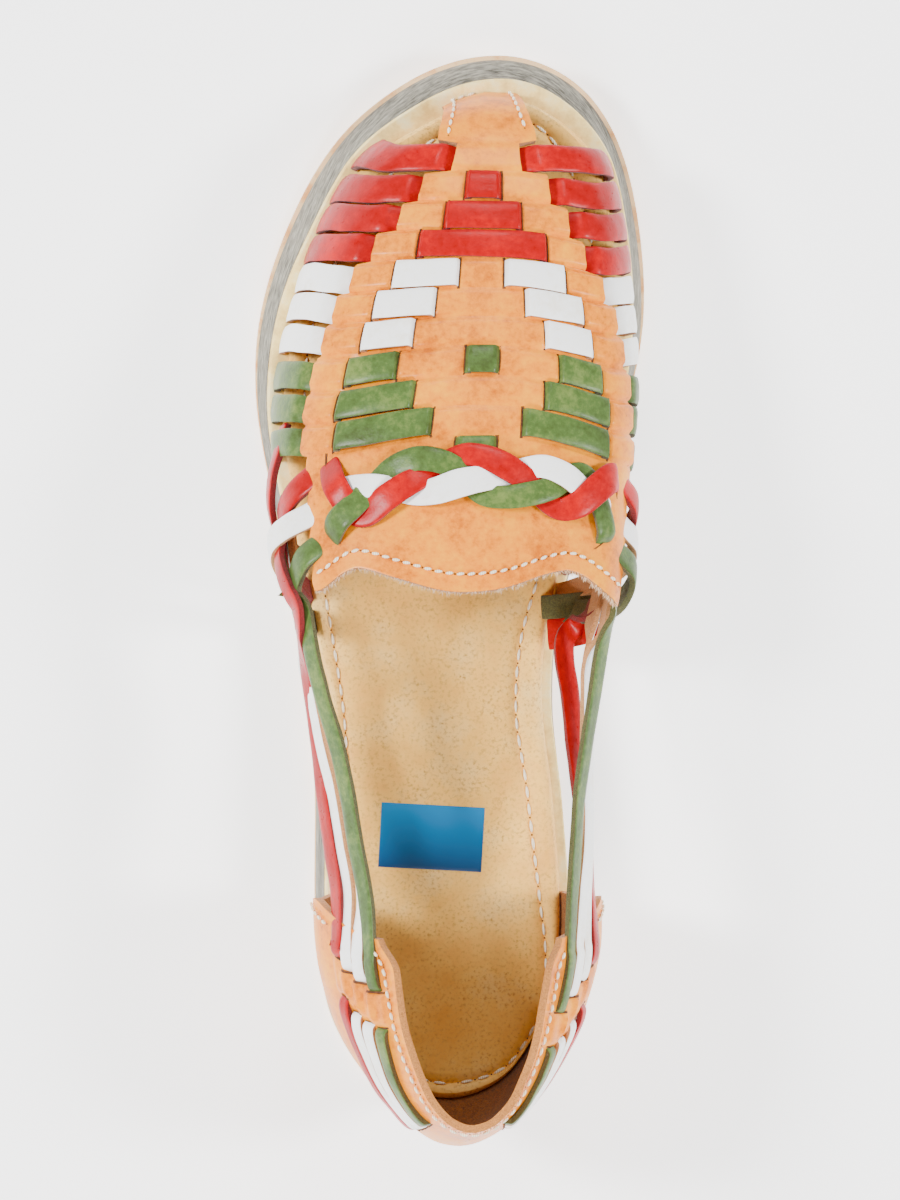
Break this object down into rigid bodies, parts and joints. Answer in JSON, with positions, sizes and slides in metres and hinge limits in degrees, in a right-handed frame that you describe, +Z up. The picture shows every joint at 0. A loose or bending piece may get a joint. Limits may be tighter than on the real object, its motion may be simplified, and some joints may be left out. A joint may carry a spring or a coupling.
{
  "type": "huarache sandal",
  "caption": "Left woven leather huarache: open closed-toe vamp of plaited straps with a braid over the instep, open side straps, heel counter and flat layered sole.",
  "frame": {"origin": "on the floor, under the middle of the heel's tread", "axes": "+Y to the toe, +X to the medial (big toe) side, +Z up"},
  "size_m": [0.0938, 0.2564, 0.07],
  "materials": {
    "outsole_rubber": "matt crepe rubber, pale peach",
    "midsole_rubber": "sanded grey microporous rubber",
    "welt_rubber": "matt cream foam rubber",
    "insole_leather": "tan split leather with a padded edge",
    "upper_leather": "tan leather with red, white and green dyed straps"
  },
  "bodies": {
    "root": {"outsole": "outsole_rubber", "midsole": "midsole_rubber", "welt": "welt_rubber", "insole": "insole_leather", "upper": "upper_leather"}
  },
  "joints": []
}
